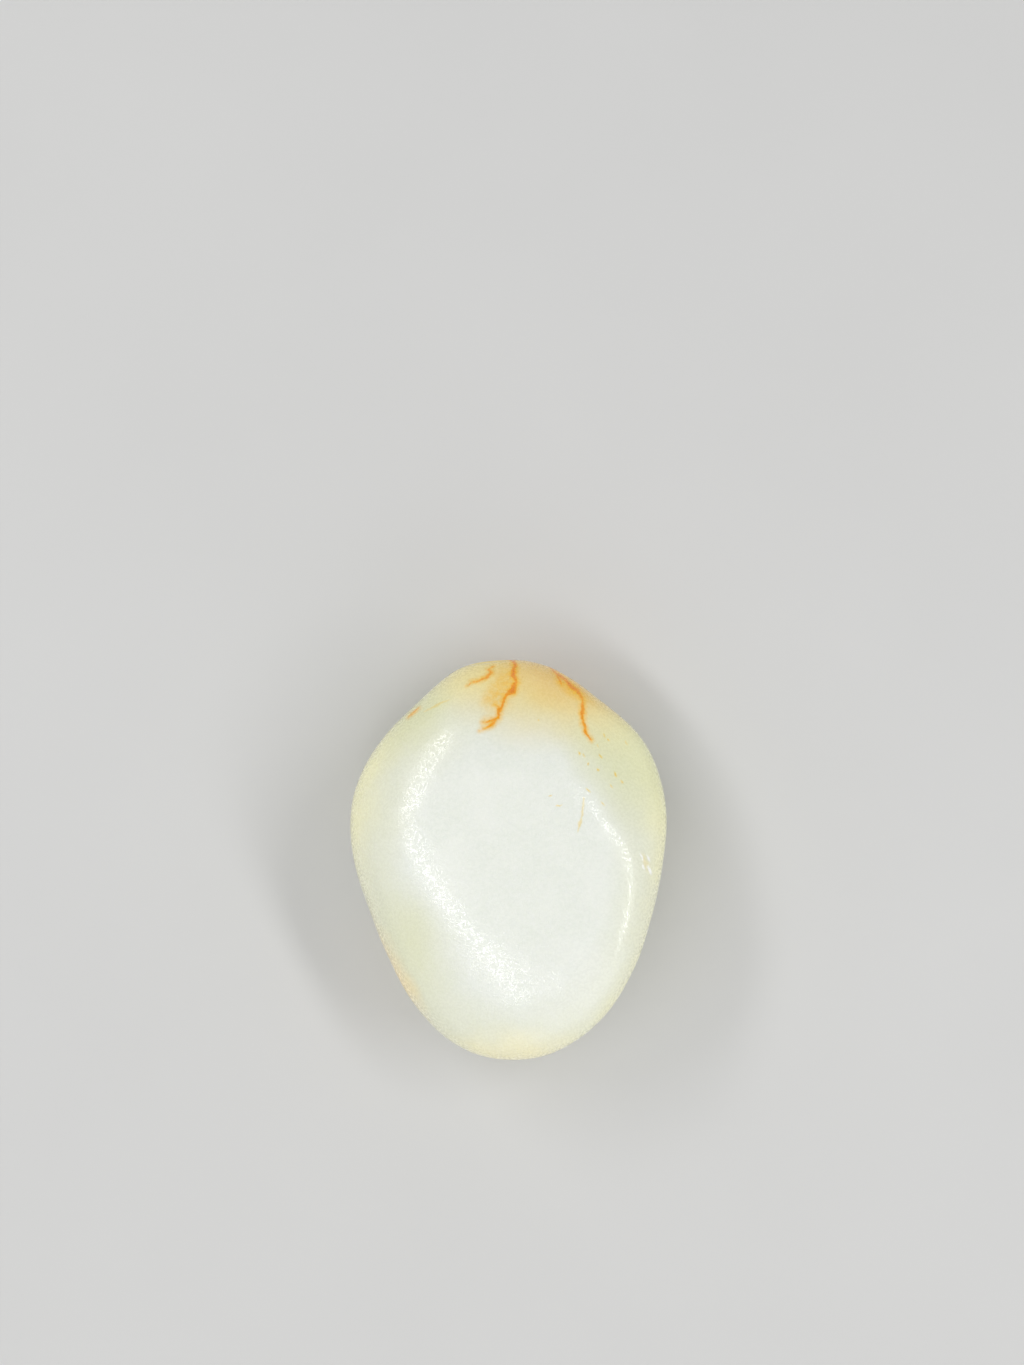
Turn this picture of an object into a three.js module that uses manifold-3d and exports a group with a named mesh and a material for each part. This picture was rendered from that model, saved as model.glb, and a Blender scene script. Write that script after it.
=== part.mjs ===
// Raw white jade, a water-worn pebble in one solid piece, lying on its flatter back.
// Millimetres, +Z up. X runs across the show face and Y along it, towards the stained end.
// The origin is the middle of the stone's footprint box, on the surface that it lies on.

import * as THREE from 'three';
import { mergeVertices } from 'three/addons/utils/BufferGeometryUtils.js';
import Module from 'manifold-3d';

// Overall size of the finished stone
const WIDTH = 39.7;
const LENGTH = 50;
const THICKNESS = 21;

// Outline seen from above: the radius at every 20 degrees, anticlockwise from +X
const RIM_RADII = [
  19.2, 20.9, 22.4, 22.9, 24.7, 24.9, 22.5, 21.5, 20.7,
  19.2, 18.2, 19.1, 21.6, 24.2, 24.6, 22.8, 20.4, 19.0,
];
const RIM_HEIGHT = 9.4;
const RIM_WANDER = 0.9;

// Blank: the full, evenly rounded body that the river then wore flats on
const BLANK_TOP = 23.6;
const BLANK_BOTTOM = -1.6;
const BLANK_FULLNESS = 2.35;
const BLANK_DETAIL = 17;
// The blank bulges more towards one side, which keeps a tight shoulder there
const FULL_SIDE = { azimuth: 335, extra: 1.4, narrowness: 4 };

// Flats worn on the blank. Each goes through a point, and its normal leans from straight up
// by tilt, towards azimuth, in degrees. Softness rounds the shoulder where it ends.
const SHOW_FACE = { through: [1, -1, 21.2], azimuth: 250, tilt: 2, softness: 1.1 };
const SHOW_FLANKS = [
  { through: [-11.5, 10.5, 20.4], azimuth: 156, tilt: 29, softness: 1.1 },
  { through: [-7.4, -7.4, 20.6], azimuth: 218, tilt: 26, softness: 1.2 },
  { through: [4, -17, 20.5], azimuth: 276, tilt: 27, softness: 1.3 },
  { through: [16.6, -8, 20.6], azimuth: 344, tilt: 54, softness: 0.4 },
  { through: [13.2, 3.8, 20.6], azimuth: 34, tilt: 34, softness: 0.45 },
  { through: [4.6, 12.4, 20.8], azimuth: 58, tilt: 22, softness: 0.9 },
  { through: [-2, 17.4, 20.4], azimuth: 98, tilt: 33, softness: 1.2 },
];
const BACK_FLANKS = [
  { through: [-10.5, 2, -0.1], azimuth: 176, tilt: 152, softness: 0.8 },
  { through: [2, -15.5, -0.1], azimuth: 262, tilt: 154, softness: 0.9 },
  { through: [12, -3, -0.1], azimuth: 352, tilt: 148, softness: 0.7 },
  { through: [8.5, 11.5, -0.1], azimuth: 52, tilt: 157, softness: 0.8 },
  { through: [-6, 15, -0.1], azimuth: 112, tilt: 150, softness: 0.8 },
];
const REST_FACE = { through: [0, 0, -0.1], azimuth: 0, tilt: 180, softness: 0.6 };
const REST_CUT = 0.09;

// Scars: shallow hollows where a flake has left. Each is an ellipsoid sunk by depth into a place
// on the surface. Its half widths run down the slope, level along it, and outwards.
// The flake at the stained end broke off at a crack, so its hollow stops short at crackX.
const SCARS = [
  { on: [-1.9, 24.6, 10.9], azimuth: 96, tilt: 76, depth: 0.42, half: [3.4, 6.5, 2], crackX: 0.45 },
  { on: [16.8, -0.9, 19.4], azimuth: 2, tilt: 42, depth: 0.25, half: [1, 1.6, 0.8] },
];
const SCAR_SEGMENTS = 48;

const JADE = { color: 0xe6e9dc, roughness: 0.42, metalness: 0 };

// The outline's radius at an angle, on a smooth closed curve through RIM_RADII.
function rimRadius(angle) {
  const count = RIM_RADII.length;
  const place = THREE.MathUtils.euclideanModulo(angle / (2 * Math.PI), 1) * count;
  const index = Math.floor(place);
  const t = place - index;
  const [a, b, c, d] = [-1, 0, 1, 2].map((step) => RIM_RADII[(index + step + count) % count]);
  return b + 0.5 * t * (c - a + t * (2 * a - 5 * b + 4 * c - d + t * (3 * (b - c) + d - a)));
}

// The rim is no level line: it wanders up and down around the stone.
function rimHeight(angle) {
  return RIM_HEIGHT + RIM_WANDER * (0.6 * Math.sin(angle + 0.7) + 0.4 * Math.sin(2 * angle - 0.9));
}

// How far the blank's section fills its corners: 2 is an ellipse, and more is fuller.
function fullness(angle) {
  const turn = angle - THREE.MathUtils.degToRad(FULL_SIDE.azimuth);
  return BLANK_FULLNESS + FULL_SIDE.extra * Math.pow((1 + Math.cos(turn)) / 2, FULL_SIDE.narrowness);
}

// Moves a point of the unit sphere to its place on the blank.
function toBlank(point) {
  const angle = Math.atan2(point.y, point.x);
  const level = Math.min(1, Math.hypot(point.x, point.y));
  const spread = rimRadius(angle) * Math.pow(level, 2 / fullness(angle));
  const lift = Math.pow(Math.abs(point.z), 2 / fullness(angle));
  const end = point.z > 0 ? BLANK_TOP : BLANK_BOTTOM;
  const rim = RIM_HEIGHT + (rimHeight(angle) - RIM_HEIGHT) * level;
  point.set(spread * Math.cos(angle), spread * Math.sin(angle), rim + (end - rim) * lift);
}

// The turn that leans +Z over by tilt, towards azimuth.
function lean({ azimuth, tilt }) {
  return new THREE.Matrix4()
    .makeRotationZ(THREE.MathUtils.degToRad(azimuth))
    .multiply(new THREE.Matrix4().makeRotationY(THREE.MathUtils.degToRad(tilt)));
}

// Wears a point down to a flat, with a soft shoulder in place of a sharp edge.
function wearTo(flat, point) {
  const normal = new THREE.Vector3(0, 0, 1).applyMatrix4(lean(flat));
  const above = normal.dot(point) - normal.dot(new THREE.Vector3(...flat.through));
  const worn = -flat.softness * Math.log1p(Math.exp(-above / flat.softness));
  point.addScaledVector(normal, worn - above);
}

// A closed geometry as a solid for cutting.
function toSolid(wasm, geometry) {
  const bare = geometry.clone().deleteAttribute('normal').deleteAttribute('uv');
  const merged = mergeVertices(bare, 1e-4);
  return new wasm.Manifold(new wasm.Mesh({
    numProp: 3,
    vertProperties: merged.attributes.position.array,
    triVerts: new Uint32Array(merged.index.array),
  }));
}

function toGeometry(solid) {
  const mesh = solid.getMesh();
  return new THREE.BufferGeometry()
    .setAttribute('position', new THREE.BufferAttribute(mesh.vertProperties, 3))
    .setIndex(new THREE.BufferAttribute(mesh.triVerts, 1));
}

// The worn body, stretched to the overall size and set down on z = 0.
function wornBody() {
  const geometry = new THREE.IcosahedronGeometry(1, BLANK_DETAIL);
  const position = geometry.attributes.position;
  const point = new THREE.Vector3();
  for (let i = 0; i < position.count; i++) {
    toBlank(point.fromBufferAttribute(position, i));
    for (const flat of [SHOW_FACE, ...SHOW_FLANKS, ...BACK_FLANKS, REST_FACE]) wearTo(flat, point);
    position.setXYZ(i, point.x, point.y, point.z);
  }
  geometry.computeBoundingBox();
  const size = geometry.boundingBox.getSize(new THREE.Vector3());
  const middle = geometry.boundingBox.getCenter(new THREE.Vector3());
  geometry.translate(-middle.x, -middle.y, -geometry.boundingBox.min.z - REST_CUT);
  return geometry.scale(WIDTH / size.x, LENGTH / size.y, THICKNESS / (size.z - REST_CUT));
}

// Everything below the surface that the stone lies on, to cut a true flat.
function belowSurface(wasm) {
  const depth = THICKNESS;
  const slab = new THREE.BoxGeometry(2 * WIDTH, 2 * LENGTH, depth).translate(0, 0, -depth / 2);
  return toSolid(wasm, slab);
}

function scoop(wasm, scar) {
  const ellipsoid = new THREE.SphereGeometry(1, SCAR_SEGMENTS, SCAR_SEGMENTS / 2)
    .scale(...scar.half)
    .translate(0, 0, scar.half[2] - scar.depth)
    .applyMatrix4(lean(scar))
    .translate(...scar.on);
  const solid = toSolid(wasm, ellipsoid);
  return scar.crackX === undefined ? solid : solid.trimByPlane([-1, 0, 0], -scar.crackX);
}

const wasm = await Module();
wasm.setup();

const cuts = [belowSurface(wasm), ...SCARS.map((scar) => scoop(wasm, scar))];
const body = cuts.reduce((solid, cut) => solid.subtract(cut), toSolid(wasm, wornBody()));

const stone = new THREE.Mesh(toGeometry(body), new THREE.MeshStandardMaterial(JADE));
stone.name = 'jade_stone';

const pebble = new THREE.Group();
pebble.add(stone);

export default pebble;
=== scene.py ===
"""Raw white jade: a water-worn stone lying on its back, looked down on over its show face.

Lengths are in metres. Numbers named with _MM, and all that the materials read, are in millimetres.
"""

import math

import bpy
from mathutils import Matrix, Vector


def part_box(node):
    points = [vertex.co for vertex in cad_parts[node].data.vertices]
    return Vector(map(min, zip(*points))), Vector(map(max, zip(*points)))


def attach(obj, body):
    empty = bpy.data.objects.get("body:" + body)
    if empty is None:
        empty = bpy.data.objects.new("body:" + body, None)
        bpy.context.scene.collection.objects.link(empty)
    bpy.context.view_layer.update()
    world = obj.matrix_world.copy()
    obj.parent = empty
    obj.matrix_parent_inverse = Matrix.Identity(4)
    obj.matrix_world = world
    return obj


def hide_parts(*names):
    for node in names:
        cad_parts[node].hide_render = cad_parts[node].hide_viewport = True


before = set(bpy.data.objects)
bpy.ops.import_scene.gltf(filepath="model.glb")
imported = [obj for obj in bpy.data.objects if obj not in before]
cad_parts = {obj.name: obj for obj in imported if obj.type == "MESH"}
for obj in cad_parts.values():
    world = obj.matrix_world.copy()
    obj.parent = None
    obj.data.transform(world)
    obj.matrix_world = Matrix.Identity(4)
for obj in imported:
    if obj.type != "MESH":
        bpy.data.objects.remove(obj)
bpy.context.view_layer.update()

MM = 0.001

# The view: the picture's height and its focal length in the same pixels, the camera's height,
# and how far it leans towards the stained end and towards the right
PICTURE_HEIGHT_PX = 1365
FOCAL_PX = 1972
CAMERA_HEIGHT_MM = 257.8
CAMERA_LEAN = 0.0886
CAMERA_TURN = 0.0023
SENSOR_MM = 36

# The stone's skin, as worked from an even ball
BALL_CUTS = 25
BALL_OVERSIZE = 1.08
BALL_ROUNDS = 2
SKIN_LIFT_MM = 0.04

# Round the flat that the stone lies on: how high the skin stays even, over what height the
# unevenness sets in, and up to what height the skin is levelled
EVEN_UP_TO_MM = 0.4
SETS_IN_OVER_MM = 1.6
LEVEL_UP_TO_MM = 0.03

# Gentle unevenness: the width of one swell and how far the skin moves in all
SWELLS_MM = {
    "long swell": (9.0, 0.20),
    "river dimples": (2.4, 0.05),
}

# Hollows pressed into the skin. Each is an egg sunk by depth into a place on the surface. Its
# half widths run down the slope, level along it, and outwards. Nothing past reach is touched,
# nor anything past the crack that one hollow ends at.
SCARS_MM = [
    {"on": (-1.9, 24.6, 10.9), "azimuth": 96, "tilt": 76, "depth": 0.42, "half": (3.4, 6.5, 2.0),
     "reach": 4.2, "crack_x": 0.45},
    {"on": (16.8, -0.9, 19.4), "azimuth": 2, "tilt": 42, "depth": 0.18, "half": (1.0, 1.6, 0.8),
     "reach": 2.2},
    {"on": (16.35, -0.75, 19.7), "azimuth": 6, "tilt": 32, "depth": 0.2, "half": (0.3, 0.9, 0.4),
     "reach": 1.6},
    {"on": (17.15, -0.9, 19.15), "azimuth": 359, "tilt": 46, "depth": 0.36,
     "half": (0.32, 1.2, 0.5), "reach": 1.8},
]


def only(obj):
    """Selects obj alone and makes it the one that operators act on."""
    bpy.ops.object.select_all(action="DESELECT")
    obj.select_set(True)
    bpy.context.view_layer.objects.active = obj


def apply(obj, modifier):
    only(obj)
    bpy.ops.object.modifier_apply(modifier=modifier.name)


def select_where(obj, keep):
    """Selects obj's vertices whose place answers to keep, in edit mode, and stays there."""
    only(obj)
    bpy.ops.object.mode_set(mode="EDIT")
    bpy.ops.mesh.select_mode(type="VERT")
    bpy.ops.mesh.select_all(action="DESELECT")
    bpy.ops.object.mode_set(mode="OBJECT")
    for vertex in obj.data.vertices:
        vertex.select = keep(vertex.co)
    bpy.ops.object.mode_set(mode="EDIT")


def rough_out(solid):
    """An even ball, stretched to the solid's proportions, laid on its surface and smoothed."""
    low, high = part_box("jade_stone")
    middle = (Vector(low) + Vector(high)) / 2
    half = (Vector(high) - Vector(low)) / 2 * BALL_OVERSIZE
    bpy.ops.object.select_all(action="DESELECT")
    bpy.ops.mesh.primitive_cube_add(size=2)
    stone = bpy.context.active_object
    stone.name = stone.data.name = "raw_jade"
    bpy.ops.object.mode_set(mode="EDIT")
    bpy.ops.mesh.subdivide(number_cuts=BALL_CUTS)
    bpy.ops.object.mode_set(mode="OBJECT")
    rounding = stone.modifiers.new("round", "CAST")
    rounding.cast_type = "SPHERE"
    rounding.factor = 1
    rounding.use_radius_as_size = False
    rounding.size = 1
    apply(stone, rounding)
    bpy.ops.object.mode_set(mode="EDIT")
    bpy.ops.mesh.select_all(action="SELECT")
    bpy.ops.transform.resize(value=half, center_override=(0, 0, 0))
    bpy.ops.transform.translate(value=middle)
    bpy.ops.object.mode_set(mode="OBJECT")
    hug = stone.modifiers.new("hug the solid", "SHRINKWRAP")
    hug.target = solid
    hug.wrap_method = "NEAREST_SURFACEPOINT"
    hug.offset = SKIN_LIFT_MM * MM
    apply(stone, hug)
    bpy.ops.object.mode_set(mode="EDIT")
    bpy.ops.mesh.select_all(action="SELECT")
    bpy.ops.mesh.vertices_smooth(factor=0.5, repeat=2)
    bpy.ops.object.mode_set(mode="OBJECT")
    finer = stone.modifiers.new("finer", "SUBSURF")
    finer.levels = finer.render_levels = BALL_ROUNDS
    apply(stone, finer)
    return stone


def swell(stone):
    """Long swells and shallow dimples, fading out towards the flat that the stone lies on."""
    above_foot = "above the foot"
    skin = stone.vertex_groups.new(name=above_foot)
    for vertex in stone.data.vertices:
        weight = min(1, max(0, (vertex.co.z / MM - EVEN_UP_TO_MM) / SETS_IN_OVER_MM))
        skin.add([vertex.index], weight, "REPLACE")
    for name, (width, travel) in SWELLS_MM.items():
        texture = bpy.data.textures.new(name, "CLOUDS")
        texture.noise_scale = width * MM
        texture.noise_depth = 1
        move = stone.modifiers.new(name, "DISPLACE")
        move.texture = texture
        move.texture_coords = "LOCAL"
        move.vertex_group = above_foot
        move.mid_level = 0.5
        move.strength = travel * MM
        apply(stone, move)
    stone.vertex_groups.remove(stone.vertex_groups[above_foot])


def scar_egg(scar):
    """The egg that a scar is pressed with, at its place."""
    bpy.ops.object.select_all(action="DESELECT")
    bpy.ops.mesh.primitive_uv_sphere_add(segments=96, ring_count=48, radius=1)
    egg = bpy.context.active_object
    half = Vector(scar["half"]) * MM
    egg.matrix_world = (
        Matrix.Translation(Vector(scar["on"]) * MM)
        @ Matrix.Rotation(math.radians(scar["azimuth"]), 4, "Z")
        @ Matrix.Rotation(math.radians(scar["tilt"]), 4, "Y")
        @ Matrix.Translation((0, 0, half.z - scar["depth"] * MM))
        @ Matrix.Diagonal((*half, 1))
    )
    only(egg)
    bpy.ops.object.transform_apply(location=True, rotation=True, scale=True)
    return egg


def within_reach(scar, co):
    return (co - Vector(scar["on"]) * MM).length < scar["reach"] * MM


def this_side_of_crack(scar, co):
    return "crack_x" not in scar or co.x < scar["crack_x"] * MM


def press_scars(stone):
    """Refines the skin round each scar, then presses the eggs into it."""
    select_where(stone, lambda co: any(within_reach(scar, co) for scar in SCARS_MM))
    bpy.ops.mesh.select_mode(type="FACE")
    bpy.ops.mesh.subdivide(number_cuts=3, smoothness=1)
    bpy.ops.object.mode_set(mode="OBJECT")
    scarred = "scarred"
    for scar in SCARS_MM:
        egg = scar_egg(scar)
        group = stone.vertex_groups.new(name=scarred)
        pressed = [
            vertex.index
            for vertex in stone.data.vertices
            if within_reach(scar, vertex.co) and this_side_of_crack(scar, vertex.co)
        ]
        group.add(pressed, 1, "REPLACE")
        press = stone.modifiers.new("press", "SHRINKWRAP")
        press.target = egg
        press.wrap_method = "NEAREST_SURFACEPOINT"
        press.wrap_mode = "OUTSIDE"
        press.vertex_group = scarred
        apply(stone, press)
        stone.vertex_groups.remove(stone.vertex_groups[scarred])
        bpy.data.objects.remove(egg)


def level_foot(stone):
    """Flattens what lies lowest onto the surface that the stone lies on."""
    select_where(stone, lambda co: co.z < LEVEL_UP_TO_MM * MM)
    bpy.ops.transform.resize(value=(1, 1, 0), center_override=(0, 0, 0))
    bpy.ops.object.mode_set(mode="OBJECT")


# Materials


def tone(red, green, blue):
    """A colour as seen on a screen, 0 to 255, as the numbers that a shader takes."""
    return tuple(((v / 255 + 0.055) / 1.055) ** 2.4 for v in (red, green, blue)) + (1,)


# Body, rim with painted glow, flanks with painted shade, iron stain, pits with painted shade and
# scars' lips with painted highlights
MILK = tone(231, 235, 226)
CLOUD = tone(240, 242, 235)
# Shoulder green is partly the skin's yellowing and partly painted shade on the sloping flanks; rim
# yellow is partly yellowing and partly a painted glow, brighter than the body
SHOULDER_GREEN_SHADE = tone(226, 228, 206)
RIM_YELLOW_GLOW = tone(244, 241, 196)
# Foot cream is a painted glow at the foot, brighter than the body
FOOT_CREAM_GLOW = tone(250, 240, 196)
RIM_PEACH = tone(252, 224, 160)
FLANK_LIME = tone(222, 224, 182)
CREAM = tone(236, 216, 142)
APRICOT = tone(230, 190, 114)
HONEY = tone(238, 188, 50)
AMBER = tone(240, 186, 34)
STRAW = tone(236, 204, 74)
ORANGE = tone(238, 160, 4)
RUST = tone(226, 130, 0)
# Painted shade in the pitted hollows
PIT_SHADE = tone(204, 208, 196)
# Lip highlight is a painted highlight, near white
LIP_HIGHLIGHT = tone(250, 251, 244)

# Broad washes of colour, in the order that they lie over each other: colour, then middle, half
# length, half width and turn in degrees, then how much of it is even core, and its strength
# The green and lime washes darken the lower-left flank, partly its yellowing and partly painted
# shade; the cloud wash is a pool of painted light, a lighter patch low on the right of the show
# face
FLANK_SHADE_AND_LIGHT_WASHES_MM = [
    (SHOULDER_GREEN_SHADE, (-11.5, -9.0), 11.0, 5.5, -62, 0.0, 0.8),
    (FLANK_LIME, (-12.0, -11.0), 12.0, 6.0, -62, 0.0, 0.45),
    (CLOUD, (9.0, -15.0), 12.0, 7.0, 50, 0.0, 0.5),
]
# The foot's cream wash is a painted glow, brighter than the body; the peach wash tints the
# lower-left rim
RIM_GLOW_AND_TINT_WASHES_MM = [
    (FOOT_CREAM_GLOW, (1.0, -26.0), 14.0, 7.0, 0, 0.0, 0.8),
    (RIM_PEACH, (-14.5, -15.5), 11.0, 3.6, -63, 0.0, 0.9),
]
STAINED_END_WASHES_MM = [
    (CREAM, (4.5, 25.5), 20.0, 14.5, -14, 0.3, 0.9),
    (APRICOT, (6.5, 24.5), 13.0, 8.5, -28, 0.1, 0.75),
]

# Patches of one colour that don't darken each other: the same without the colour
LIME_PATCHES_MM = [
    ((15.0, 13.0), 13.0, 9.0, -52, 0.2, 0.75),
    ((-11.0, 18.0), 10.0, 5.0, 50, 0.1, 0.75),
]
HONEY_PATCHES_MM = [
    ((-0.6, 20.6), 4.8, 2.6, 68, 0.1, 0.75),
    ((7.9, 20.9), 3.8, 1.7, -38, 0.2, 0.95),
    ((-2.2, 16.2), 1.9, 1.1, 30, 0.0, 0.6),
]
SCAR_FACE_MM = ((-1.9, 25.0), 3.0, 0.4, -2, 0.3, 0.5)
CHIP_FACE_MM = ((16.65, -0.6), 1.6, 0.5, -72, 0.2, 0.25)

# The outline's half width and half length, and how far its middle lies towards the narrow end
OUTLINE_HALF_MM = (19.8, 25.0, 1.0)
OUTLINE_SHIFT_MM = (0.0, 1.5, 0.0)

# Heights: where the show face's own marks end, where its worn skin turns smoother, and where the
# pattern starts to wander on the sides
MARKS_END_MM = (12.0, 14.5)
SMOOTHER_MM = (10.0, 17.0)
WANDER_MM = (12.0, 2.0)

# The worn skin: pores and lumps, how wide or far apart they are and how deep
PORE_SPACING_MM = 0.45
PORE_DEPTH_MM = 0.01
PORE_SHARE = 0.45
LUMP_WIDTH_MM = 0.38
LUMP_DEPTH_MM = 0.024
RIM_WEAR = 0.3
POLISHED, DULL = 0.14, 0.42

# Light in the stone: the index of refraction of nephrite and how far light travels in it
NEPHRITE_IOR = 1.61
GLOW_REACH_MM = 1.5

# Veins of iron stain: places along each, across and along the stone, and half widths there
VEINS_MM = [
    [(0.3, 26.0, 0.22), (0.9, 23.8, 0.26), (0.7, 22.4, 0.32), (1.1, 21.5, 0.18), (0.6, 20.4, 0.46),
     (-0.2, 19.7, 0.18), (-0.7, 18.4, 0.16), (-1.0, 17.9, 0.24), (-1.1, 17.0, 0.16),
     (-1.9, 16.5, 0.14), (-2.9, 16.4, 0.02)],
    [(-1.4, 16.6, 0.06), (-2.3, 15.8, 0.14), (-3.4, 15.3, -0.05)],
    [(-0.9, 18.2, 0.10), (-1.5, 18.6, 0.0)],
    [(-1.7, 23.7, 0.02), (-2.4, 23.1, 0.10), (-1.9, 22.8, 0.14), (-2.6, 22.2, 0.18),
     (-3.5, 21.7, 0.13), (-4.5, 21.5, 0.07), (-5.0, 21.1, -0.05)],
    [(5.4, 23.7, 0.10), (6.1, 22.8, 0.24), (7.2, 22.0, 0.24), (7.7, 21.2, 0.28), (8.6, 20.6, 0.26),
     (9.0, 20.0, 0.20), (9.2, 19.2, 0.10), (9.2, 18.0, 0.26), (9.2, 17.0, 0.18), (9.4, 15.9, 0.15),
     (9.5, 15.4, 0.16), (10.2, 14.3, 0.04)],
    [(6.2, 22.5, 0.16), (6.6, 21.4, 0.12)],
    [(-11.0, 18.4, 0.04), (-11.7, 17.8, 0.10), (-12.3, 17.3, 0.02)],
]

# Faint yellow threads: the same, but pale
THREADS_MM = [
    [(9.2, 7.2, 0.02), (8.9, 4.8, 0.02), (8.6, 4.0, 0.12), (8.5, 3.2, -0.02)],
    [(-10.2, 17.9, 0.0), (-8.7, 18.6, 0.10), (-7.1, 19.3, 0.0)],
    [(3.6, 24.3, 0.04), (5.1, 23.4, 0.0)],
]

# Painted highlight along the lip of the flake scar: the same, but whiter than the skin
LIP_HIGHLIGHTS_MM = [[(-4.5, 24.0, 0.12), (-3.4, 24.45, 0.06), (0.4, 24.55, 0.03)]]

# Painted highlights along the lips of the chip at the side: place across and along, half length,
# half width, turn
CHIP_LIP_HIGHLIGHTS_MM = [
    (16.2, 0.0, 0.75, 0.20, -68),
    (16.4, -1.1, 0.50, 0.20, -60),
    (17.0, -0.1, 0.65, 0.16, -62),
    (17.15, -1.5, 0.85, 0.24, -62),
]

# Yellow flecks down the flank: place across and along, half length, half width, turn in degrees
FLECKS_MM = [
    (9.7, 8.1, 0.55, 0.20, -35),
    (5.1, 7.4, 0.40, 0.18, 10),
    (6.2, 6.3, 0.50, 0.16, 5),
    (8.7, 12.6, 0.40, 0.25, -60),
    (9.3, 12.3, 0.35, 0.20, -50),
    (9.8, 11.3, 0.30, 0.22, -70),
    (11.0, 10.6, 0.40, 0.22, -60),
    (11.8, 14.9, 0.45, 0.16, -62),
    (12.3, 14.4, 0.35, 0.16, -35),
    (14.7, 14.1, 0.50, 0.14, -60),
    (11.0, 13.6, 0.40, 0.14, -60),
    (11.3, 12.3, 0.45, 0.20, -60),
    (13.2, 10.1, 0.60, 0.25, -70),
    (13.9, 9.2, 0.45, 0.20, -60),
    (3.8, 16.6, 0.18, 0.14, 0),
    (11.5, 6.5, 0.50, 0.16, -45),
    (12.6, 8.6, 0.40, 0.16, -60),
]


def new_group(name, inputs, outputs):
    """A node group with its own named sockets, given as (name, kind) or (name, kind, value)."""
    group = bpy.data.node_groups.new(name, "ShaderNodeTree")
    for direction, sockets in (("INPUT", inputs), ("OUTPUT", outputs)):
        for socket_name, kind, *value in sockets:
            socket = group.interface.new_socket(
                socket_name, in_out=direction, socket_type="NodeSocket" + kind
            )
            if value:
                socket.default_value = value[0]
    return group, group.nodes.new("NodeGroupInput"), group.nodes.new("NodeGroupOutput")


def feed(tree, socket, value):
    """Links value to socket where it is another node's output, and sets it otherwise."""
    if isinstance(value, bpy.types.NodeSocket):
        tree.links.new(value, socket)
    else:
        socket.default_value = value


def math_node(tree, operation, *values, clamp=False):
    node = tree.nodes.new("ShaderNodeMath")
    node.operation = operation
    node.use_clamp = clamp
    for socket, value in zip(node.inputs, values):
        feed(tree, socket, value)
    return node.outputs[0]


def vector_node(tree, operation, *values, scale=None):
    node = tree.nodes.new("ShaderNodeVectorMath")
    node.operation = operation
    for socket, value in zip(node.inputs, values):
        feed(tree, socket, value)
    if scale is not None:
        feed(tree, node.inputs["Scale"], scale)
    return node.outputs["Value" if operation in {"LENGTH", "DISTANCE", "DOT_PRODUCT"} else "Vector"]


def largest(tree, *masks):
    """The strongest of several masks."""
    strongest = masks[0]
    for mask in masks[1:]:
        strongest = math_node(tree, "MAXIMUM", strongest, mask)
    return strongest


def ease(tree, value, start, end, low=0.0, high=1.0):
    """Turns value into low at start and high at end, with a soft step between."""
    node = tree.nodes.new("ShaderNodeMapRange")
    node.interpolation_type = "SMOOTHSTEP"
    for name, amount in (
        ("Value", value),
        ("From Min", start),
        ("From Max", end),
        ("To Min", low),
        ("To Max", high),
    ):
        feed(tree, node.inputs[name], amount)
    return node.outputs["Result"]


def noise(tree, place, size, detail=2.0, roughness=0.5, colour=False):
    """Noise with one wave every size millimetres."""
    node = tree.nodes.new("ShaderNodeTexNoise")
    feed(tree, node.inputs["Vector"], place)
    node.inputs["Scale"].default_value = 1 / size
    node.inputs["Detail"].default_value = detail
    node.inputs["Roughness"].default_value = roughness
    return node.outputs["Color" if colour else "Fac"]


def stained(tree, under, over, amount):
    """The colour under, covered by the colour over by amount."""
    node = tree.nodes.new("ShaderNodeMix")
    node.data_type = "RGBA"
    feed(tree, node.inputs["Factor"], amount)
    feed(tree, node.inputs[6], under)
    feed(tree, node.inputs[7], over)
    return node.outputs[2]


def placed(tree, group, **values):
    """A node group set into tree, with its inputs given by name."""
    node = tree.nodes.new("ShaderNodeGroup")
    node.node_tree = group
    for name, value in values.items():
        feed(tree, node.inputs[name.replace("_", " ")], value)
    return node


def vein_stroke_group():
    """How far a place is outside a tapered stroke, or outside the strokes before it if nearer."""
    group, given, made = new_group(
        "vein stroke",
        [("Place", "Vector"), ("Start", "Vector"), ("End", "Vector"), ("Start Width", "Float"),
         ("End Width", "Float"), ("Nearest", "Float", 100.0)],
        [("Nearest", "Float")],
    )
    source = given.outputs
    away = vector_node(group, "SUBTRACT", source["Place"], source["Start"])
    along = vector_node(group, "SUBTRACT", source["End"], source["Start"])
    share = math_node(
        group,
        "DIVIDE",
        vector_node(group, "DOT_PRODUCT", away, along),
        vector_node(group, "DOT_PRODUCT", along, along),
        clamp=True,
    )
    foot = vector_node(group, "SCALE", along, scale=share)
    distance = vector_node(group, "DISTANCE", away, foot)
    growth = math_node(group, "SUBTRACT", source["End Width"], source["Start Width"])
    width = math_node(group, "MULTIPLY_ADD", growth, share, source["Start Width"])
    gap = math_node(group, "SUBTRACT", distance, width)
    nearest = math_node(group, "MINIMUM", gap, source["Nearest"])
    group.links.new(nearest, made.inputs["Nearest"])
    return group


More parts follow.
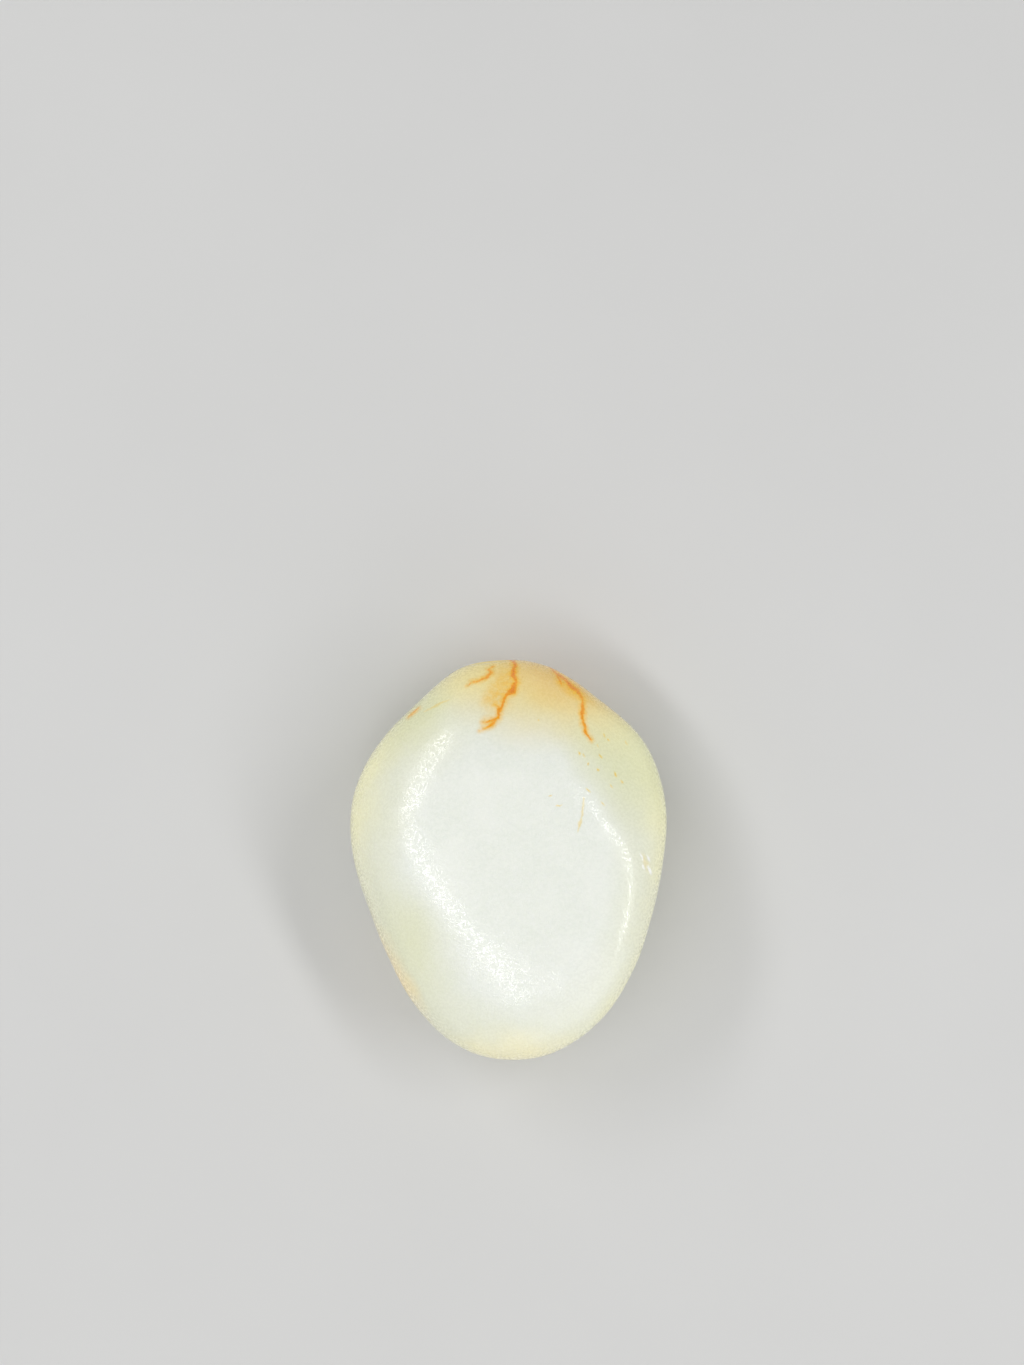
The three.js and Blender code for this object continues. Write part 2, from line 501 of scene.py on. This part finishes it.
def stain_patch_group():
    """A soft oval patch, 1 in the middle and 0 past its edge."""
    group, given, made = new_group(
        "stain patch",
        [("Place", "Vector"), ("Middle", "Vector"), ("Half Length", "Float", 1.0),
         ("Half Width", "Float", 1.0), ("Turn", "Float"), ("Core", "Float")],
        [("Mask", "Float")],
    )
    source = given.outputs
    away = vector_node(group, "SUBTRACT", source["Place"], source["Middle"])
    turn = group.nodes.new("ShaderNodeVectorRotate")
    turn.rotation_type = "Z_AXIS"
    group.links.new(away, turn.inputs["Vector"])
    group.links.new(
        math_node(group, "RADIANS", math_node(group, "MULTIPLY", source["Turn"], -1.0)),
        turn.inputs["Angle"],
    )
    half = group.nodes.new("ShaderNodeCombineXYZ")
    group.links.new(source["Half Length"], half.inputs["X"])
    group.links.new(source["Half Width"], half.inputs["Y"])
    half.inputs["Z"].default_value = 1
    reach = vector_node(
        group, "LENGTH", vector_node(group, "DIVIDE", turn.outputs[0], half.outputs[0])
    )
    group.links.new(ease(group, reach, 1.0, source["Core"]), made.inputs["Mask"])
    return group


def pores_group():
    """Fine pits of the river-worn skin: how far below it they lie, and where they are."""
    group, given, made = new_group(
        "worn pores",
        [("Place", "Vector"), ("Spacing", "Float", 0.4), ("Share", "Float", 0.5),
         ("Depth", "Float", 0.02)],
        [("Height", "Float"), ("Mask", "Float")],
    )
    source = given.outputs
    cells = group.nodes.new("ShaderNodeTexVoronoi")
    group.links.new(source["Place"], cells.inputs["Vector"])
    group.links.new(math_node(group, "DIVIDE", 1.0, source["Spacing"]), cells.inputs["Scale"])
    present = group.nodes.new("ShaderNodeSeparateColor")
    group.links.new(cells.outputs["Color"], present.inputs[0])
    kept = math_node(group, "LESS_THAN", present.outputs[0], source["Share"])
    size = math_node(group, "MULTIPLY_ADD", present.outputs[1], 0.25, 0.25)
    hollow = ease(group, cells.outputs["Distance"], size, 0.0)
    mask = math_node(group, "MULTIPLY", hollow, kept)
    group.links.new(mask, made.inputs["Mask"])
    depth = math_node(group, "MULTIPLY", mask, source["Depth"])
    group.links.new(math_node(group, "MULTIPLY", depth, -1.0), made.inputs["Height"])
    return group


def vein_gap(tree, stroke_group, place, veins):
    """Distance outside the nearest vein, in millimetres and below 0 inside it."""
    nearest = 100.0
    for vein in veins:
        for (x0, y0, width0), (x1, y1, width1) in zip(vein, vein[1:]):
            stroke = placed(
                tree,
                stroke_group,
                Place=place,
                Start=(x0, y0, 0),
                End=(x1, y1, 0),
                Start_Width=width0,
                End_Width=width1,
                Nearest=nearest,
            )
            nearest = stroke.outputs["Nearest"]
    return nearest


def jade_places(tree):
    """Places on the stone in millimetres: as they are, then in plan, wandering widely and finely.

    In plan the places wander further on the sides and the back than on the show face.
    """
    position = tree.nodes.new("ShaderNodeTexCoord").outputs["Object"]
    place = vector_node(tree, "SCALE", position, scale=1 / MM)
    axes = tree.nodes.new("ShaderNodeSeparateXYZ")
    tree.links.new(place, axes.inputs[0])

    def wander(size, travel, detail=1.0):
        shift = noise(tree, place, size, detail, colour=True)
        return vector_node(
            tree, "SCALE", vector_node(tree, "SUBTRACT", shift, (0.5, 0.5, 0.5)), scale=travel
        )

    below = ease(tree, axes.outputs["Z"], *WANDER_MM)
    drift = vector_node(tree, "SCALE", wander(7.0, 9.0), scale=below)
    drifted = vector_node(tree, "ADD", place, drift)
    wide = vector_node(tree, "ADD", drifted, wander(6.0, 3.0))
    ragged = vector_node(tree, "ADD", wander(0.9, 0.5, 2.0), wander(0.25, 0.16))
    fine = vector_node(tree, "ADD", drifted, ragged)
    flat = (1, 1, 0)
    wide_plan = vector_node(tree, "MULTIPLY", wide, flat)
    fine_plan = vector_node(tree, "MULTIPLY", fine, flat)
    return place, wide_plan, fine_plan


def jade_colour(tree, place, wide, fine, dull, upper):
    """Milky white, yellowing towards the rim, with iron stain and veins at one end, and with
    painted light: painted shade on the flanks and in the pits, a painted glow at the rim and foot,
    a painted lighter patch low on the show face and painted highlights along the scars' lips.

    Dull is where the skin is pitted, and upper where the show face's own marks belong.
    """
    stroke, patch = vein_stroke_group(), stain_patch_group()

    def spot(middle, length, width, turn=0.0, core=0.0, where=wide):
        node = placed(
            tree,
            patch,
            Place=where,
            Middle=(*middle, 0),
            Half_Length=length,
            Half_Width=width,
            Turn=turn,
            Core=core,
        )
        return node.outputs["Mask"]

    def part(mask, amount):
        return math_node(tree, "MULTIPLY", mask, amount)

    def wash(middle, length, width, turn, core, strength, where=wide):
        return part(spot(middle, length, width, turn, core, where), strength)

    def washed(colour, washes):
        for over, *shape in washes:
            colour = stained(tree, colour, over, wash(*shape))
        return colour

    # Milky body with soft clouds and a fine cottony grain
    clouds = ease(tree, noise(tree, place, 5.0, 3.0, 0.6), 0.35, 0.75)
    cotton = ease(tree, noise(tree, place, 0.5, 2.0, 0.7), 0.35, 0.7)
    colour = stained(tree, MILK, CLOUD, part(clouds, 0.6))
    colour = stained(tree, colour, CLOUD, part(cotton, 0.6))
    # Painted shade: the pitted hollows are painted slightly darker
    colour = stained(tree, colour, PIT_SHADE, part(dull, 0.15))

    # Yellower towards the rim and creamy at the narrow end. The sloping flanks are painted slightly
    # darker as painted shade, and the rim is painted brighter as a painted glow standing in for
    # light through its thin edges
    shifted = vector_node(tree, "ADD", wide, OUTLINE_SHIFT_MM)
    reach = vector_node(tree, "LENGTH", vector_node(tree, "DIVIDE", shifted, OUTLINE_HALF_MM))
    colour = stained(tree, colour, SHOULDER_GREEN_SHADE, ease(tree, reach, 0.56, 0.84, 0.0, 0.85))
    # Painted shade darkens the lower-left flank, and a painted lighter patch stands in for light
    # low on the right of the show face
    colour = washed(colour, FLANK_SHADE_AND_LIGHT_WASHES_MM)
    colour = stained(tree, colour, RIM_YELLOW_GLOW, ease(tree, reach, 0.80, 1.02, 0.0, 0.9))
    # Painted glow at the foot, and a peach tint on the lower-left rim
    colour = washed(colour, RIM_GLOW_AND_TINT_WASHES_MM)

    # Iron-stained end
    lime = largest(tree, *(wash(*patch_shape) for patch_shape in LIME_PATCHES_MM))
    colour = stained(tree, colour, FLANK_LIME, lime)
    colour = washed(colour, STAINED_END_WASHES_MM)
    mottle = ease(tree, noise(tree, place, 0.7, 3.0, 0.65), 0.35, 0.62, 0.55, 1.0)
    haze = largest(tree, *(wash(*patch_shape) for patch_shape in HONEY_PATCHES_MM))
    colour = stained(tree, colour, HONEY, math_node(tree, "MULTIPLY", haze, mottle))

    # Flecks and threads down the flank
    flecks = 0.0
    for x, y, length, width, turn in FLECKS_MM:
        fleck = spot((x, y), length, width, turn, 0.0, fine)
        flecks = math_node(tree, "MAXIMUM", flecks, fleck)
    grain = noise(tree, place, 0.35, 2.0, 0.6)
    flecks = math_node(tree, "MULTIPLY", flecks, part(upper, 1.5))
    colour = stained(tree, colour, STRAW, math_node(tree, "MULTIPLY", flecks, grain))
    thread_gap = vein_gap(tree, stroke, fine, THREADS_MM)
    threads = ease(tree, thread_gap, 0.2, -0.08, 0.0, 0.5)
    colour = stained(tree, colour, STRAW, math_node(tree, "MULTIPLY", threads, upper))

    # Stained faces of the scars, and painted highlights along their lips
    colour = stained(tree, colour, HONEY, wash(*SCAR_FACE_MM, fine))
    chip = wash(*CHIP_FACE_MM, fine)
    colour = stained(tree, colour, STRAW, math_node(tree, "MULTIPLY", chip, upper))
    lip_highlight_gap = vein_gap(tree, stroke, fine, LIP_HIGHLIGHTS_MM)
    lip_highlights = ease(tree, lip_highlight_gap, 0.12, 0.0, 0.0, 0.8)
    for x, y, length, width, turn in CHIP_LIP_HIGHLIGHTS_MM:
        lip_highlights = math_node(tree, "MAXIMUM", lip_highlights, spot((x, y), length, width, turn, 0.3, fine))
    # Painted highlights along the scars' lips
    colour = stained(tree, colour, LIP_HIGHLIGHT, math_node(tree, "MULTIPLY", lip_highlights, upper))

    # Veins, each in a soft halo of stain
    gap = vein_gap(tree, stroke, fine, VEINS_MM)
    ragged = math_node(tree, "MULTIPLY_ADD", math_node(tree, "SUBTRACT", grain, 0.5), 0.5, gap)
    halo = ease(tree, gap, 0.6, -0.1)
    colour = stained(tree, colour, AMBER, math_node(tree, "MULTIPLY", halo, part(mottle, 0.75)))
    colour = stained(tree, colour, ORANGE, ease(tree, ragged, 0.07, -0.1, 0.0, 0.95))
    return stained(tree, colour, RUST, ease(tree, ragged, -0.06, -0.36, 0.0, 0.85))


def jade_skin():
    material = bpy.data.materials.new("jade_skin")
    material.use_nodes = True
    tree = material.node_tree
    shader = tree.nodes["Principled BSDF"]
    place, wide, fine = jade_places(tree)
    pores = placed(
        tree,
        pores_group(),
        Place=place,
        Spacing=PORE_SPACING_MM,
        Share=PORE_SHARE,
        Depth=PORE_DEPTH_MM,
    )
    relief = noise(tree, place, LUMP_WIDTH_MM, 3.0, 0.65)
    axes = tree.nodes.new("ShaderNodeSeparateXYZ")
    tree.links.new(place, axes.inputs[0])
    fading = ease(tree, axes.outputs["Z"], *SMOOTHER_MM, RIM_WEAR, 1.0)
    upper = ease(tree, axes.outputs["Z"], *MARKS_END_MM)
    hollows = largest(tree, ease(tree, relief, 0.56, 0.44), pores.outputs["Mask"])
    dull = math_node(tree, "MULTIPLY", hollows, fading)
    feed(tree, shader.inputs["Base Color"], jade_colour(tree, place, wide, fine, dull, upper))

    # Polished high spots between dull hollows and pores, smoother towards the rim
    lumps = math_node(tree, "MULTIPLY", relief, LUMP_DEPTH_MM)
    height = math_node(tree, "ADD", lumps, pores.outputs["Height"])
    bump = tree.nodes.new("ShaderNodeBump")
    bump.inputs["Strength"].default_value = 1
    bump.inputs["Distance"].default_value = MM
    feed(tree, bump.inputs["Height"], math_node(tree, "MULTIPLY", height, fading))
    feed(tree, shader.inputs["Normal"], bump.outputs["Normal"])
    feed(tree, shader.inputs["Roughness"], ease(tree, dull, 0.0, 1.0, POLISHED, DULL))
    shader.inputs["IOR"].default_value = NEPHRITE_IOR
    shader.inputs["Subsurface Weight"].default_value = 0.3
    shader.inputs["Subsurface Radius"].default_value = (1.0, 1.0, 0.9)
    shader.inputs["Subsurface Scale"].default_value = GLOW_REACH_MM * MM
    shader.inputs["Sheen Weight"].default_value = 0.1
    shader.inputs["Sheen Roughness"].default_value = 0.35
    shader.inputs["Sheen Tint"].default_value = tone(255, 252, 226)
    return material


def floor_finish():
    material = bpy.data.materials.new("pale_floor")
    material.use_nodes = True
    tree = material.node_tree
    shader = tree.nodes["Principled BSDF"]
    position = tree.nodes.new("ShaderNodeTexCoord").outputs["Object"]
    place = vector_node(tree, "SCALE", position, scale=1 / MM)
    colour = stained(
        tree,
        tone(206, 206, 205),
        tone(211, 211, 210),
        noise(tree, place, 40.0, 3.0, 0.5),
    )
    feed(tree, shader.inputs["Base Color"], colour)
    shader.inputs["Roughness"].default_value = 0.75
    return material


# Studio

STONE_MIDDLE = Vector((0, 0, 0.015))
BOX_DISTANCE = 0.6

# Brightness of the white tent at its foot and overhead
TENT_GLOW = (0.93, 0.1)

# Softboxes, each spanned between two directions seen from the stone: how wide, and how bright
SOFTBOXES = {
    "upper left box": ((-0.44, 0.68, 0.59), (-0.66, 0.12, 0.74), 0.09, 7.0),
    "lower left box": ((-0.62, 0.04, 0.78), (-0.02, -0.60, 0.80), 0.08, 6.4),
    "right box": ((0.48, 0.40, 0.78), (0.72, -0.40, 0.57), 0.075, 8.0),
    "low fill": ((0.75, -0.45, 0.35), (-0.1, -0.9, 0.35), 0.3, 0.6),
    "overhead": ((0.35, 0.10, 0.93), (-0.35, 0.10, 0.93), 0.4, 0.4),
}


def studio_floor():
    bpy.ops.object.select_all(action="DESELECT")
    bpy.ops.mesh.primitive_plane_add(size=6)
    floor = bpy.context.active_object
    floor.name = "studio_floor"
    floor.data.materials.append(floor_finish())


def softbox(name, start, end, width, radiance):
    """A rectangular light that faces the stone and reaches from one direction to another."""
    one_end = STONE_MIDDLE + Vector(start).normalized() * BOX_DISTANCE
    other_end = STONE_MIDDLE + Vector(end).normalized() * BOX_DISTANCE
    middle = (one_end + other_end) / 2
    along = (other_end - one_end).normalized()
    back = (middle - STONE_MIDDLE).normalized()
    light = bpy.data.lights.new(name, "AREA")
    light.shape = "RECTANGLE"
    light.size, light.size_y = (other_end - one_end).length, width
    light.energy = radiance * math.pi * light.size * light.size_y
    lamp = bpy.data.objects.new(name, light)
    bpy.context.scene.collection.objects.link(lamp)
    turned = Matrix((along, back.cross(along), back)).transposed()
    lamp.matrix_world = Matrix.Translation(middle) @ turned.to_4x4()


def studio_world():
    """An even white tent, brighter low down than overhead."""
    world = bpy.data.worlds.new("studio")
    bpy.context.scene.world = world
    world.use_nodes = True
    tree = world.node_tree
    background = tree.nodes["Background"]
    background.inputs["Color"].default_value = (1.0, 1.0, 1.0, 1)
    axes = tree.nodes.new("ShaderNodeSeparateXYZ")
    tree.links.new(tree.nodes.new("ShaderNodeTexCoord").outputs["Generated"], axes.inputs[0])
    feed(tree, background.inputs["Strength"], ease(tree, axes.outputs["Z"], 0.0, 1.0, *TENT_GLOW))


def camera():
    data = bpy.data.cameras.new("camera")
    data.sensor_width = SENSOR_MM
    data.lens = SENSOR_MM * FOCAL_PX / PICTURE_HEIGHT_PX
    data.clip_start = 0.01
    eye = bpy.data.objects.new("camera", data)
    bpy.context.scene.collection.objects.link(eye)
    eye.location = (0, 0, CAMERA_HEIGHT_MM * MM)
    eye.rotation_euler = (CAMERA_LEAN, -CAMERA_TURN, 0)
    bpy.context.scene.camera = eye


camera()
studio_floor()
studio_world()
for box_name, box_shape in SOFTBOXES.items():
    softbox(box_name, *box_shape)

stone = rough_out(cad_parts["jade_stone"])
swell(stone)
press_scars(stone)
level_foot(stone)
only(stone)
bpy.ops.object.shade_smooth()
stone.data.materials.append(jade_skin())
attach(stone, "root")
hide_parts("jade_stone")

bpy.context.scene.view_settings.view_transform = "Standard"
